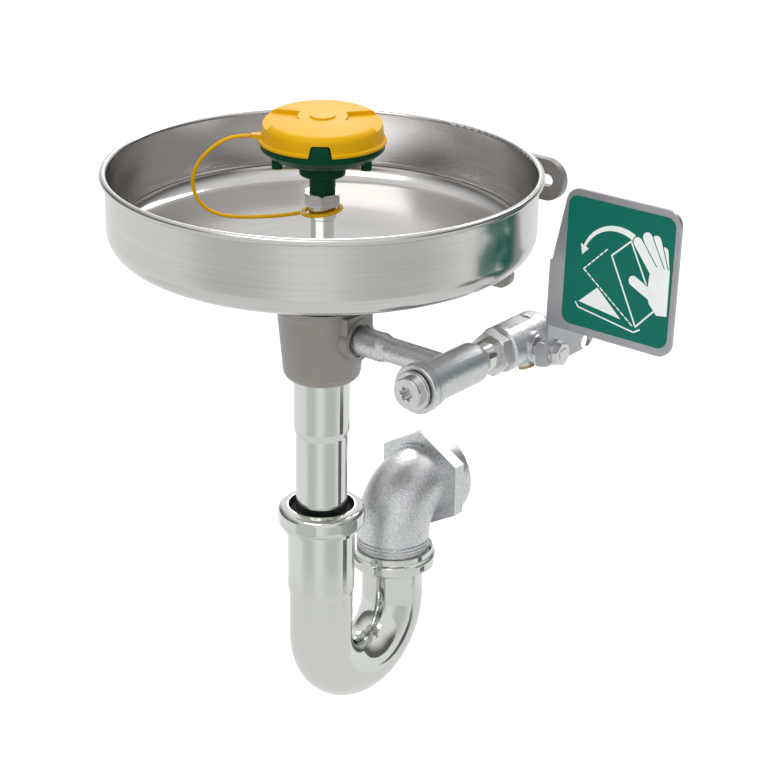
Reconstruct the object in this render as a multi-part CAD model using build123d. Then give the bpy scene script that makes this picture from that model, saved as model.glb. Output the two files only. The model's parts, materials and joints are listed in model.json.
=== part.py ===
from build123d import *

import math
import os

# Wall-mounted emergency eye and face wash with a round bowl, a push-flag ball valve and a bottle-neck trap.
# Millimetres. The origin is on the wall, midway between the bracket's two slots. +Z is up, +Y goes into
# the wall, and the user stands on the -Y side.

# ---------------------------------------------------------------- overall places
REACH = 168.0  # wall to the bowl's axis
RIM_Z = 36.8  # the bowl's rim above the bracket's slots
CLEAR = 0.08  # running gap between pieces that slide over each other
FIT = 0.05  # gap between fixed pieces that nest

# ---------------------------------------------------------------- bowl (heights are below the rim)
BOWL_R = 130.0  # outer edge of the rolled rim
SHEET = 1.2
CURL_R = 2.2
CURL_END = -75.0  # where the rolled edge stops, degrees from outward
BOWL_SIDE = 44.0
BOWL_CORNER = 15.0
SEAT_R = 29.0  # flat middle of the bowl's floor
SEAT_DEPTH = 81.5
SEAT_ROUND = 6.0
BOWL_HOLE_R = 20.0

# ---------------------------------------------------------------- bowl clamping
GASKET_R = 26.5
GASKET_T = 1.5
GRID_R = 26.0
GRID_T = 1.6
GRID_HOLE_R = 2.4
GRID_RING_R = 14.5
GRID_HOLES = 12
CLAMP_SCREWS = 3
CLAMP_PCD_R = 23.0
SCREW_R = 1.9
SCREW_HEAD_R = 3.4
SCREW_HEAD_T = 1.8
SCREW_LENGTH = 12.0

# ---------------------------------------------------------------- wall bracket casting
CUP_TOP_R = 27.2
CUP_LOW_R = 23.2
CUP_DEPTH = 132.3  # bottom of the cup below the rim
CUP_ROUND = 6.0
CUP_LIP_R = 28.3
CUP_LIP_T = 4.4
CUP_BORE_R = 19.0
CUP_THROAT_R = 15.4
SOCKET_DEPTH = 20.5
SEAL_SECTION = 2.0
HUB_R = 11.5
HUB_TOP = 92.0
HUB_LOW = 113.0
WATER_R = 5.5
BRIDGE_R = 8.5
BOSS_R = 13.2
BOSS_OUT = 30.0
BOSS_PAD_W = 24.0
BOSS_SINK = 1.2
ARM_BORE_R = 9.0
ARM_BORE_DEPTH = 11.0
LOCK_SCREW_R = 1.6
LOCK_SCREW_L = 4.8
LOCK_SCREW_IN = 3.0  # from the boss's face
PLATE_T = 5.0
PLATE_W = 120.0
EAR_H = 27.0
SLOT_SPACING = 90.0
SLOT_W = 8.0
SLOT_LENGTH = 14.0
STEM_W = 44.0
STEM_LOW = 80.7  # lower end of the wall plate below the slots
STEM_ROUND = 9.0
LOW_HOLE_R = 4.0
LOW_HOLE_DROP = 70.0
PLATE_ROUND = 10.0
RIB_W = 9.0
RIB_FLANGE_W = 26.0
RIB_FLANGE_T = 6.0
RIB_GAP = 3.0  # air between the bowl's underside and the rib
RIB_FOOT = 15.0  # rib's lower edge below the bowl's seat

# ---------------------------------------------------------------- water supply
SUPPLY_DROP = 101.2  # supply pipes' axis below the rim
TEE_X = BOWL_R - 29.2
BRANCH_R = 8.8
BRANCH_CAST_R = 8.95
BRANCH_NECK_R = 7.5
BRANCH_SPIGOT_END = 44.4  # machined part ends, from the bowl's axis along the branch
BRANCH_STEP_AT = 47.5
BRANCH_NECK_AT = 52.0
BRANCH_SEAL_IN = 2.5  # from the spigot's inner end
TEE_R = 12.2
TEE_FRONT = -38.0
TEE_BACK = 20.0
TEE_FLANGE_R = 14.7
TEE_FLANGE_T = 5.0
TEE_GROOVE_R = 13.2
TEE_GROOVE_T = 1.5
TEE_BEAD_R = 14.0
TEE_BEAD_T = 4.5
TEE_BORE_R = 8.4
TEE_STEP = 6.0  # inner end of the strainer's chamber
PLUG_THREAD_R = 9.4
PLUG_THREAD_L = 12.0
PLUG_FLANGE_R = 11.8
PLUG_FLANGE_T = 2.6
PLUG_HEAD_R = 9.2
PLUG_HEAD_T = 4.2
PLUG_SOCKET_R = 3.3
PLUG_LOBE_R = 1.35
PLUG_SOCKET_DEPTH = 4.5
SEAL_T = 1.2
SCREEN_R = 7.4
SCREEN_T = 0.5
SCREEN_RING_T = 2.0
SCREEN_WINDOW_W = 2.2
SCREEN_WINDOWS = 8
NIPPLE_R = 9.4
NIPPLE_BORE_R = 6.2
NIPPLE_IN_TEE = 11.0
END_HEX_FRONT = 32.0
END_HEX_T = 9.0
END_HEX_AF = 24.0
VALVE_R = 14.0
VALVE_BACK = 83.0
VALVE_Y = 60.5  # the stem's place along the supply axis
VALVE_CHAMBER_R = 11.0
INLET_R = 9.9
INLET_DEPTH = 9.5
BALL_R = 9.4
BALL_BORE_R = 6.0
SEAT_RING_T = 3.0
SEAT_BORE_R = 6.4
STEM_BOSS_R = 8.0
STEM_BOSS_OUT = VALVE_R + 2.2  # from the supply axis along the stem
STEM_R = 4.0
STEM_TANG_W = 3.0
STEM_OUT = 34.2
STEM_PACKING_R = 6.0
PACKING_T = 4.0
PACKING_DEPTH = 5.0
GLAND_AF = 10.4
GLAND_T = 3.0
DRAIN_R = 5.5
DRAIN_PLUG_R = 4.0
DRAIN_FLANGE_R = 5.0
DRAIN_OUT = 17.6
DRAIN_SEAT = 15.6
DRAIN_Y = 63.5
PANEL_Y = 57.2
PANEL_W = 11.0
PANEL_L = 22.0
PANEL_DEPTH = 0.8

# ---------------------------------------------------------------- push flag
FLAG_T = 2.0
TAB_X = 25.6  # inner face of the flag's side tab from the supply axis
FLAG_W = 84.6
FLAG_LOW = 19.6  # bottom edge above the stem
FLAG_H = 85.5
FLAG_LEAN = 2.0  # degrees towards the wall
FLAG_FRONT = -8.1  # the flag's foot from the stem, along Y
FLAG_CORNER = 9.0
FLAG_NOTCH_Z = 40.0  # height of the notch above the flag's bottom edge
FLAG_NOTCH = 1.5
FLAG_TOP_CUT = 10.2  # how far the top left corner is drawn in
TAB_BACK = 42.0
TAB_LOW = -6.9
LIP_LOW = -8.8
TAB_END_R = 9.6
TAB_HOLE_R = 4.5
TAB_HOLE_Y = 32.2
TAB_HOLE_Z = -2.8
LIP_W = 6.3
LIP_TOP = 6.9
LABEL_T = 0.4
LABEL_W = 70.7
LABEL_H = 76.6
LABEL_LEFT = 10.6
LABEL_BOTTOM = 4.8
LABEL_CORNER = 6.0
WASHER_R = 7.6
WASHER_T = 1.2
NUT_AF = 12.4
NUT_T = 4.6

# ---------------------------------------------------------------- riser and head
RISER_R = 7.0
RISER_BORE_R = 5.4
RISER_THREAD = 12.0
COLLAR_R = 8.2
COLLAR_LOW = -31.0
HEAD_NUT_LOW = -22.4
HEAD_NUT_T = 7.8
HEAD_NUT_AF = 20.4
NECK_R = 7.7
STEP_R = 13.7
STEP_LOW = -4.2
STEP_TOP = 1.6
HEAD_R = 36.5
HEAD_CONE_R = 31.0  # where the cone turns up to the flange
HEAD_CONE_Z = 7.4
HEAD_FLANGE_LOW = 12.4
HEAD_FLANGE_TOP = 15.6
HEAD_WALL = 2.4
HEAD_TURN = 38.0  # the head's front is turned this far from the bracket's front
FACE_R = 32.4
FACE_T = 2.4
FACE_TOP = 18.4
FACE_HOLE_R = 1.1
JET_R = 16.5
JET_CUP_R = 9.0
JET_CUP_T = 1.4
INSERT_T = 1.6
REGULATOR_R = 5.0
REGULATOR_T = 4.0
FACE_SCREW_RING = 28.5
FACE_SCREW_TURN = 25.0  # the face's screws, either side of the line through the two jets
LUG_R = 3.2
LUG_LOW = 2.6
TAB_LOW_W = 12.4  # latch tab that shows through the cover's notch
TAB_TOP_W = 9.2
TAB_TOP = 22.3
TAB_THICK = 2.0
FACE_WALL = 1.6
ORING_SECTION = 1.5
SEAL_R = 24.0

# ---------------------------------------------------------------- dust cover
COVER_LOW = 15.9
COVER_LIP_R = 37.4
COVER_LIP_T = 1.7
COVER_SKIRT_R = 36.4
COVER_SHOULDER_R = 34.6
COVER_TILT = 4.0  # the top leans down to the front, degrees
COVER_EDGE_Z = 29.4
COVER_TOP_Z = 31.6
COVER_WALL = 1.8
COVER_ROUND = 4.5
SKIRT_EXTRA = 6.0  # added below the skirt before its lower edge is cut level
WEDGE_DEPTH = 2.2
WEDGE_IN_R = 14.5
WEDGE_ANGLE = 26.0  # half angle of each side wedge
BADGE_R = 7.5
BADGE_T = 0.8
NOTCH_LOW_W = 14.2
NOTCH_TOP_W = 10.6
NOTCH_TOP_Z = 22.9
LUG_WIDE = 7.0
LUG_TIP = 4.0
LUG_LONG = 5.2
LUG_Z = 18.4
LUG_T = 2.6

# ---------------------------------------------------------------- cover's tether
TETHER_R = 1.15
RING_IN_R = 9.8
RING_OUT_R = 12.6
RING_T = 1.7
RING_Z = -26.2
RING_TILT = 8.0
RING_SHIFT = 0.4
# Route in the plane across the head: (distance out from the riser's axis, height above the rim).
TETHER_ROUTE = [(41.75, 18.4), (50.0, 18.0), (56.5, 15.9), (63.4, 11.6), (69.6, 5.8), (74.4, -1.6),
                (76.3, -9.6), (75.3, -17.4), (71.6, -23.8), (65.4, -28.6), (57.5, -31.0), (48.0, -31.6),
                (37.5, -31.2), (26.0, -30.3), (19.5, -29.4), (13.3, -28.3)]

# ---------------------------------------------------------------- drain
TAIL_R = 16.0
TAIL_BELL_R = 17.25
TAIL_WALL = 1.2
TAIL_STEP = -166.0
TAIL_STEP_L = 4.0
TAIL_LOW = -246.0
TRAP_R = 20.0
TRAP_WALL = 1.2
TRAP_BELL_R = 21.0
TRAP_BELL_STEP = -275.0
TRAP_BELL_TOP = -226.5
TRAP_FERRULE_R = 22.0
TRAP_FERRULE_L = 7.0
BEND_R = 36.3
BEND_Z = -309.8
TRAP_OUT_TOP = -266.0
SLIP_NUT_R = 27.5
SLIP_NUT_LOW_R = 23.6
SLIP_NUT_BAND = 2.6
SLIP_NUT_H = 16.2
SLIP_RISE = 1.5
SLIP_NUT_TOP = -218.0
SLIP_NUT_FLAT = 26.7  # half the distance across the nut's flats
SLIP_LIP_T = 6.0
OUT_NUT_R = 28.2
OUT_NUT_LOW_R = 26.0
OUT_NUT_BAND = 3.5
OUT_NUT_FLAT = 27.4
OUT_NUT_LOW = -287.5
OUT_NUT_H = 13.0
SLIP_HOLE_R = 20.7
ELBOW_LOW = -279.5
ELBOW_THREAD_TOP = -266.5
ELBOW_BEND_Z = -262.5
ELBOW_R = 23.9
ELBOW_BORE_R = 20.1
ELBOW_BEND_R = 24.9
ELBOW_NECK = 1.5
ELBOW_RING_R = 25.4
ELBOW_RING_T = 2.6
ELBOW_THREAD_R = 23.8
ELBOW_THREAD_PITCH = 2.4
ELBOW_THREAD_CUT = 0.9
HEX_AF = 59.6
HEX_T = 9.0
HEX_COLLAR_R = 29.4
HEX_COLLAR_T = 10.0
WASTE_R = 23.9
WASTE_DEPTH = 15.0

BOWL_PLACE = Pos(0, -REACH, RIM_Z)
SUPPLY_PLACE = BOWL_PLACE * Pos(TEE_X, 0, -SUPPLY_DROP)
ALONG_Y = SUPPLY_PLACE * Rot(X=-90)  # local Z runs to the wall
ALONG_X = SUPPLY_PLACE * Pos(0, VALVE_Y, 0) * Rot(Y=90)  # local Z runs out along the stem
HEAD_PLACE = BOWL_PLACE * Rot(Z=HEAD_TURN)
ALONG_BRANCH = BOWL_PLACE * Pos(0, 0, -SUPPLY_DROP) * Rot(Y=90)  # local Z runs out to the tee
ON_BASE = (Align.CENTER, Align.CENTER, Align.MIN)


# ---------------------------------------------------------------- helpers
def nearest(vertices, point):
    """The vertex of a flat outline nearest to a point."""
    return min(vertices, key=lambda v: math.hypot(v.X - point[0], v.Y - point[1]))


def outline(points, rounds=()):
    """A flat face through the points; rounds gives (point index, fillet radius)."""
    face = make_face(Polyline(*points, close=True))
    for index, radius in rounds:
        face = fillet(nearest(face.vertices(), points[index]), radius)
    return face


def turned(points, rounds=()):
    """A solid of revolution about Z from (radius, height) points."""
    return revolve(Plane.XZ * outline(points, rounds), Axis.Z)


def rod(radius, low, high):
    """A round bar on Z between two heights."""
    return Pos(0, 0, low) * Cylinder(radius, high - low, align=ON_BASE)


def tube(outer, inner, low, high):
    """A round tube on Z between two heights."""
    return rod(outer, low, high) - rod(inner, low, high)


def hexagon(across_flats, low, high, turn=0.0):
    """A hexagonal bar on Z between two heights, one flat facing +Y when turn is 0."""
    face = RegularPolygon(across_flats / 2, 6, major_radius=False)
    return Pos(0, 0, low) * Rot(Z=turn) * extrude(face, high - low)


def chamfered_hexagon(across_flats, low, high, turn=0.0):
    """A hexagonal bar whose corners are turned down at both ends."""
    corner = across_flats / math.sqrt(3)
    drop = (corner - across_flats / 2) * 0.6
    spin = turned([(0, low), (corner - drop, low), (corner, low + drop), (corner, high - drop),
                   (corner - drop, high), (0, high)])
    return hexagon(across_flats, low, high, turn) & spin


def ring_of(shape, count, radius, start=0.0):
    """Copies of a shape on a circle about Z."""
    return [Rot(Z=start + 360 / count * k) * Pos(radius, 0, 0) * shape for k in range(count)]


def offset_path(path, distance):
    """The path moved sideways by a distance, with mitred corners."""
    lines = []
    for (x0, y0), (x1, y1) in zip(path, path[1:]):
        length = math.hypot(x1 - x0, y1 - y0)
        nx, ny = (y1 - y0) / length * distance, -(x1 - x0) / length * distance
        lines.append(((x0 + nx, y0 + ny), (x1 + nx, y1 + ny)))
    moved = [lines[0][0]]
    for (a, b), (c, d) in zip(lines, lines[1:]):
        ux, uy, vx, vy = b[0] - a[0], b[1] - a[1], d[0] - c[0], d[1] - c[1]
        t = ((c[0] - a[0]) * vy - (c[1] - a[1]) * vx) / (ux * vy - uy * vx)
        moved.append((a[0] + ux * t, a[1] + uy * t))
    return moved + [lines[-1][1]]


# ---------------------------------------------------------------- bowl group
def bowl():
    """Spun sheet bowl: rolled rim, upright side, coned floor and a flat seat round the drain hole."""
    wall_r = BOWL_R - 2 * CURL_R + SHEET
    outer = [(wall_r, -CURL_R), (wall_r, -BOWL_SIDE), (SEAT_R, -SEAT_DEPTH), (BOWL_HOLE_R, -SEAT_DEPTH)]
    inner = offset_path(outer, SHEET)
    rounds = [(1, BOWL_CORNER), (2, SEAT_ROUND), (6, BOWL_CORNER - SHEET), (5, SEAT_ROUND - SHEET)]
    profile = outline(outer + inner[::-1], rounds)
    keep = [(0, 0), (-2 * CURL_R, 0), (-2 * CURL_R, -2 * CURL_R)]
    end = math.radians(CURL_END)
    keep.append((2 * CURL_R * math.cos(end), 2 * CURL_R * math.sin(end)))
    curl = Circle(CURL_R) - Circle(CURL_R - SHEET) - make_face(Polyline(*keep, close=True))
    profile += Pos(BOWL_R - CURL_R, -CURL_R) * curl
    return BOWL_PLACE * revolve(Plane.XZ * profile, Axis.Z) - clamp_screw_holes()


def bowl_gasket():
    return BOWL_PLACE * tube(GASKET_R, BOWL_HOLE_R, -SEAT_DEPTH - GASKET_T, -SEAT_DEPTH) - clamp_screw_holes()


def clamp_screw_shape(extra=0.0):
    """One clamp screw, or the room for it, with its head's top at height 0."""
    head = rod(SCREW_HEAD_R + extra, -SCREW_HEAD_T, 0)
    return head + rod(SCREW_R + extra, -SCREW_LENGTH, 0)


def clamp_screw_place():
    return BOWL_PLACE * Pos(0, 0, -SEAT_DEPTH + SHEET + GRID_T + SCREW_HEAD_T)


def clamp_screw_holes():
    """Clearance for the clamp screws' shanks."""
    shanks = ring_of(rod(SCREW_R + FIT, -SCREW_LENGTH - FIT, 0), CLAMP_SCREWS, CLAMP_PCD_R)
    return [clamp_screw_place() * s for s in shanks]


def clamp_screws():
    slot = Box(2 * SCREW_HEAD_R, 1.0, 1.0, align=(Align.CENTER, Align.CENTER, Align.MAX))
    screw = clamp_screw_shape() - slot - Rot(Z=90) * slot
    return Compound([clamp_screw_place() * s for s in ring_of(screw, CLAMP_SCREWS, CLAMP_PCD_R)])


def waste_grid():
    """Perforated plate that clamps the bowl to the bracket, with the riser through its middle."""
    top = -SEAT_DEPTH + SHEET
    plate = tube(GRID_R, RISER_R + CLEAR, top, top + GRID_T)
    holes = ring_of(rod(GRID_HOLE_R, top - 1, top + GRID_T + 1), GRID_HOLES, GRID_RING_R)
    return BOWL_PLACE * (plate - holes) - clamp_screw_holes()


# ---------------------------------------------------------------- wall bracket
def bracket_cup():
    """Hollow cup under the bowl, with the hub that carries the riser."""
    top = -SEAT_DEPTH - GASKET_T
    low = -CUP_DEPTH
    ledge = top - CUP_LIP_T
    outer = turned([(0, top), (CUP_LIP_R, top), (CUP_LIP_R, ledge), (CUP_TOP_R, ledge - 1.6), (CUP_LOW_R, low),
                    (0, low)], [(4, CUP_ROUND), (2, 0.6)])
    socket_r = TAIL_BELL_R + FIT
    throat = low + SOCKET_DEPTH
    cavity = rod(CUP_BORE_R, throat + 3, top + 1) + rod(CUP_THROAT_R, throat - 1, throat + 4)
    cavity += rod(socket_r, low - 1, throat)
    groove_low = low + SOCKET_DEPTH / 2
    cavity += rod(socket_r + SEAL_SECTION, groove_low, groove_low + SEAL_SECTION)
    return outer, cavity


def seal_ring():
    """Flat ring in the cup's groove, round the tailpiece."""
    low = -CUP_DEPTH + SOCKET_DEPTH / 2
    return tube(TAIL_BELL_R + SEAL_SECTION, TAIL_BELL_R + FIT / 2, low + FIT, low + SEAL_SECTION - FIT)


def bracket_rib():
    """Cantilever rib from the cup to the wall, deeper at the wall, clear of the bowl above it."""
    slope = (SEAT_DEPTH - BOWL_SIDE) / (BOWL_R - 2 * CURL_R + SHEET - SEAT_R)
    cup_y = CUP_BORE_R + 2
    near = -SEAT_DEPTH - RIB_GAP - 1.0
    wall = REACH - PLATE_T / 2
    far_top = near + slope * (BOWL_R - SEAT_R) - RIB_GAP
    low = -SEAT_DEPTH - RIB_FOOT
    web_points = [(cup_y, near), (SEAT_R, near), (BOWL_R, far_top), (wall, far_top + 6), (wall, low),
                  (2 * CUP_TOP_R, low), (cup_y, low - 14)]
    web = extrude(Plane.YZ * outline(web_points, [(5, 20.0)]), RIB_W / 2, both=True)
    flange_points = [(cup_y, near), (SEAT_R, near), (BOWL_R, far_top), (wall, far_top + 6),
                     (wall, far_top + 6 - RIB_FLANGE_T), (BOWL_R, far_top - RIB_FLANGE_T),
                     (SEAT_R, near - 2 * RIB_FLANGE_T), (cup_y, near - 2 * RIB_FLANGE_T)]
    flange = extrude(Plane.YZ * outline(flange_points, [(2, 12.0), (5, 12.0)]), RIB_FLANGE_W / 2, both=True)
    foot_points = [(2 * CUP_TOP_R, low), (wall, low), (wall, low + RIB_FLANGE_T), (2 * CUP_TOP_R, low + RIB_FLANGE_T)]
    foot = extrude(Plane.YZ * outline(foot_points), RIB_FLANGE_W / 2, both=True)
    return web + flange + foot


def wall_plate():
    """T-shaped plate with a slotted ear at each side and a round hole low down."""
    bar = SlotOverall(PLATE_W, EAR_H)
    stem = Pos(0, -STEM_LOW / 2) * Rectangle(STEM_W, STEM_LOW)
    stem = fillet(stem.vertices().sort_by(Axis.Y)[:2], STEM_ROUND)
    face = bar + stem
    for side in (-1, 1):
        face = fillet(nearest(face.vertices(), (side * STEM_W / 2, -EAR_H / 2)), PLATE_ROUND)
        face -= Pos(side * SLOT_SPACING / 2, 0) * SlotOverall(SLOT_LENGTH, SLOT_W)
    face -= Pos(0, -LOW_HOLE_DROP) * Circle(LOW_HOLE_R)
    return Rot(X=90) * extrude(face, PLATE_T)


def wall_bracket():
    """One casting: cup, supply boss, rib and wall plate."""
    outer, cavity = bracket_cup()
    pad_top = -SEAT_DEPTH - GASKET_T - CUP_LIP_T / 2
    pad_height = pad_top + SUPPLY_DROP
    boss = rod(BOSS_R, CUP_BORE_R, BOSS_OUT)
    pad = Pos(0, 0, CUP_BORE_R) * Box(pad_height, BOSS_PAD_W, BOSS_OUT - 0.5 - CUP_BORE_R,
                                      align=(Align.MAX, Align.CENTER, Align.MIN))
    hub = rod(HUB_R, -HUB_LOW, -HUB_TOP)
    bridge = ALONG_BRANCH * rod(BRIDGE_R, HUB_R / 2, CUP_BORE_R + 3)
    body = BOWL_PLACE * (outer + bracket_rib()) + ALONG_BRANCH * boss + ALONG_BRANCH * pad
    body -= BOWL_PLACE * cavity
    body += BOWL_PLACE * hub + bridge
    body -= BOWL_PLACE * rod(RISER_R + FIT, -HUB_TOP - RISER_THREAD, -HUB_TOP + 1)
    body -= BOWL_PLACE * rod(WATER_R, -SUPPLY_DROP - WATER_R, -HUB_TOP)
    body -= ALONG_BRANCH * rod(WATER_R, 0, BOSS_OUT)
    body -= ALONG_BRANCH * rod(ARM_BORE_R, BOSS_OUT - ARM_BORE_DEPTH, BOSS_OUT + 1)
    body -= ALONG_BRANCH * rod(ARM_BORE_R + 1.4, BOSS_OUT - BOSS_SINK, BOSS_OUT + 1)
    body -= lock_screw_place() * rod(LOCK_SCREW_R + FIT, 0, BOSS_R)
    body -= clamp_screw_holes()
    return body + wall_plate()


# ---------------------------------------------------------------- supply group
def strainer_body():
    """Cast tee: the run holds the strainer along Y, and the branch feeds the bracket's boss."""
    front = TEE_FRONT
    groove = front + TEE_FLANGE_T
    bead = groove + TEE_GROOVE_T
    run = turned([(0, front), (TEE_FLANGE_R, front), (TEE_FLANGE_R, groove), (TEE_GROOVE_R, groove),
                  (TEE_GROOVE_R, bead), (TEE_BEAD_R, bead), (TEE_BEAD_R, bead + TEE_BEAD_T), (TEE_R, bead + 6.5),
                  (TEE_R, TEE_BACK - 5), (TEE_R - 1.8, TEE_BACK), (0, TEE_BACK)], [(1, 0.8), (6, 1.2), (8, 3.0)])
    reach = BOSS_OUT - ARM_BORE_DEPTH + FIT
    branch = turned([(0, reach), (BRANCH_R, reach), (BRANCH_R, BRANCH_SPIGOT_END),
                     (BRANCH_CAST_R, BRANCH_SPIGOT_END + 0.3), (BRANCH_CAST_R, BRANCH_STEP_AT),
                     (BRANCH_NECK_R, BRANCH_NECK_AT), (BRANCH_NECK_R, TEE_X), (0, TEE_X)], [(4, 2.0), (5, 2.0)])
    body = ALONG_Y * run + ALONG_BRANCH * (branch - branch_seal_ring(0))
    body -= ALONG_BRANCH * rod(WATER_R, reach - 1, TEE_X)
    body -= ALONG_Y * rod(TEE_BORE_R, front, TEE_STEP)
    body -= ALONG_Y * rod(PLUG_THREAD_R, front - 1, front + PLUG_THREAD_L)
    body -= ALONG_Y * rod(NIPPLE_BORE_R, TEE_STEP - 1, TEE_BACK)
    return body - ALONG_Y * rod(NIPPLE_R, TEE_BACK - NIPPLE_IN_TEE, TEE_BACK + 1)


def branch_seal_ring(gap):
    """Square-cut ring round the branch's spigot; a gap of 0 gives its groove."""
    low = BOSS_OUT - ARM_BORE_DEPTH + BRANCH_SEAL_IN
    return tube(ARM_BORE_R - gap / 2, BRANCH_R - ORING_SECTION + gap, low + gap, low + ORING_SECTION - gap)


def branch_oring():
    """Seal between the branch's spigot and the boss."""
    return ALONG_BRANCH * branch_seal_ring(FIT)


def lock_screw_place():
    """Frame where the boss's lock screw meets the branch's spigot, local Z pointing up out of the boss."""
    return ALONG_BRANCH * Pos(-BRANCH_R - FIT, 0, BOSS_OUT - LOCK_SCREW_IN) * Rot(Y=-90)


def branch_lock_screw():
    """Grub screw down through the boss onto the branch's spigot."""
    screw = rod(LOCK_SCREW_R, FIT, LOCK_SCREW_L)
    return lock_screw_place() * (screw - hexagon(LOCK_SCREW_R, LOCK_SCREW_L - 1.6, LOCK_SCREW_L + 1))


def strainer_plug():
    """Screwed plug with a six-lobed socket in its face."""
    thread_end = TEE_FRONT + PLUG_THREAD_L - FIT
    seat = TEE_FRONT - SEAL_T
    face = seat - PLUG_FLANGE_T
    tip = face - PLUG_HEAD_T
    plug = turned([(0, tip), (PLUG_HEAD_R, tip), (PLUG_HEAD_R, face), (PLUG_FLANGE_R, face), (PLUG_FLANGE_R, seat),
                   (PLUG_THREAD_R - FIT, seat), (PLUG_THREAD_R - FIT, thread_end), (0, thread_end)],
                  [(1, 0.8), (3, 0.5)])
    socket = rod(PLUG_SOCKET_R, tip - 1, tip + PLUG_SOCKET_DEPTH)
    lobes = ring_of(rod(PLUG_LOBE_R, tip - 1, tip + PLUG_SOCKET_DEPTH), 6, PLUG_SOCKET_R)
    return ALONG_Y * (plug - socket - lobes)


def plug_seal():
    return ALONG_Y * tube(PLUG_FLANGE_R - 0.3, PLUG_THREAD_R, TEE_FRONT - SEAL_T, TEE_FRONT)


def strainer_screen():
    """Slotted strainer basket between the plug and the tee's step."""
    front = TEE_FRONT + PLUG_THREAD_L
    basket = tube(SCREEN_R, SCREEN_R - SCREEN_T, front, TEE_STEP)
    windows = ring_of(Pos(0, 0, (front + TEE_STEP) / 2) * Box(4 * SCREEN_T, SCREEN_WINDOW_W,
                      TEE_STEP - front - 4 * SCREEN_RING_T), SCREEN_WINDOWS, SCREEN_R)
    rings = tube(TEE_BORE_R - FIT, SCREEN_R - SCREEN_T, TEE_STEP - SCREEN_RING_T, TEE_STEP)
    return ALONG_Y * (basket - windows + rings)


def valve_nipple():
    end = END_HEX_FRONT + END_HEX_T
    return ALONG_Y * tube(NIPPLE_R - FIT, NIPPLE_BORE_R, TEE_BACK - NIPPLE_IN_TEE, end - 1.5)


def valve_end():
    """Hexagonal end piece screwed into the valve's body."""
    hex_end = END_HEX_FRONT + END_HEX_T
    piece = chamfered_hexagon(END_HEX_AF, END_HEX_FRONT, hex_end, 15)
    piece += rod(VALVE_CHAMBER_R - FIT, hex_end, VALVE_Y - BALL_R - SEAT_RING_T + 1.2)
    piece -= rod(NIPPLE_BORE_R, END_HEX_FRONT, VALVE_Y)
    return ALONG_Y * (piece - rod(NIPPLE_R, END_HEX_FRONT - 1, hex_end - 1.5))


def valve_body():
    """Round body with the stem boss, a drain boss under it and the inlet's female thread."""
    front = END_HEX_FRONT + END_HEX_T
    body = turned([(0, front), (VALVE_R - 1, front), (VALVE_R, front + 1), (VALVE_R, VALVE_BACK - 5),
                   (VALVE_R - 2.5, VALVE_BACK), (0, VALVE_BACK)], [(3, 3.0)])
    body = ALONG_Y * body
    boss = turned([(0, 0), (STEM_BOSS_R + 1.2, 0), (STEM_BOSS_R + 1.2, STEM_BOSS_OUT - 2.4),
                   (STEM_BOSS_R, STEM_BOSS_OUT - 1.6), (STEM_BOSS_R, STEM_BOSS_OUT), (0, STEM_BOSS_OUT)])
    body += ALONG_X * boss
    body += drain_place() * rod(DRAIN_R, 0, DRAIN_SEAT)
    body -= drain_place() * rod(DRAIN_FLANGE_R + FIT, DRAIN_SEAT, DRAIN_OUT)
    panel = Pos(0, PANEL_Y, VALVE_R) * Box(PANEL_W, PANEL_L, 2 * PANEL_DEPTH)
    body -= SUPPLY_PLACE * panel
    back_seat = VALVE_Y + BALL_R + SEAT_RING_T - 1.2
    body -= ALONG_Y * rod(VALVE_CHAMBER_R, front - 1, back_seat)
    body -= ALONG_Y * rod(NIPPLE_BORE_R, front, VALVE_BACK)
    body -= ALONG_Y * rod(INLET_R, VALVE_BACK - INLET_DEPTH, VALVE_BACK + 1)
    body -= ALONG_X * rod(STEM_R + CLEAR, 0, STEM_BOSS_OUT + 1)
    body -= ALONG_X * rod(STEM_PACKING_R, STEM_BOSS_OUT - PACKING_DEPTH, STEM_BOSS_OUT + 1)
    return body - drain_place() * rod(DRAIN_PLUG_R, 0, DRAIN_OUT)


def drain_place():
    """Frame on the valve's underside, local Z pointing down and out."""
    return SUPPLY_PLACE * Pos(0, DRAIN_Y, 0) * Rot(Y=160)


def drain_plug():
    """Brass plug with a hollow end in the valve's drain boss."""
    plug = rod(DRAIN_PLUG_R - FIT, VALVE_CHAMBER_R + 0.4, DRAIN_SEAT)
    plug += turned([(0, DRAIN_SEAT), (DRAIN_FLANGE_R, DRAIN_SEAT), (DRAIN_FLANGE_R, DRAIN_OUT), (0, DRAIN_OUT)],
                   [(2, 0.8)])
    return drain_place() * (plug - rod(DRAIN_PLUG_R - 1.0, DRAIN_SEAT - 0.8, DRAIN_OUT + 1))


def valve_ball():
    """Bored ball with a slot for the stem's tang; the bore crosses the pipe when the valve is shut."""
    ball = Sphere(BALL_R) - Rot(X=90) * rod(BALL_BORE_R, -2 * BALL_R, 2 * BALL_R)
    slot = Pos(0, 0, BALL_R - STEM_TANG_W / 2) * Box(2 * BALL_R, STEM_TANG_W + 2 * FIT, STEM_TANG_W)
    return ALONG_X * (ball - slot)


def valve_seats():
    """Two soft rings that hold the ball."""
    rings = []
    for side in (-1, 1):
        ring = tube(VALVE_CHAMBER_R - FIT, SEAT_BORE_R, BALL_R - SEAT_RING_T + 1.2, BALL_R + SEAT_RING_T - 1.2)
        turn = Rot(X=0 if side > 0 else 180)
        rings.append(ALONG_Y * Pos(0, 0, VALVE_Y) * turn * (ring - Sphere(BALL_R + CLEAR)))
    return Compound(rings)


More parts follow.
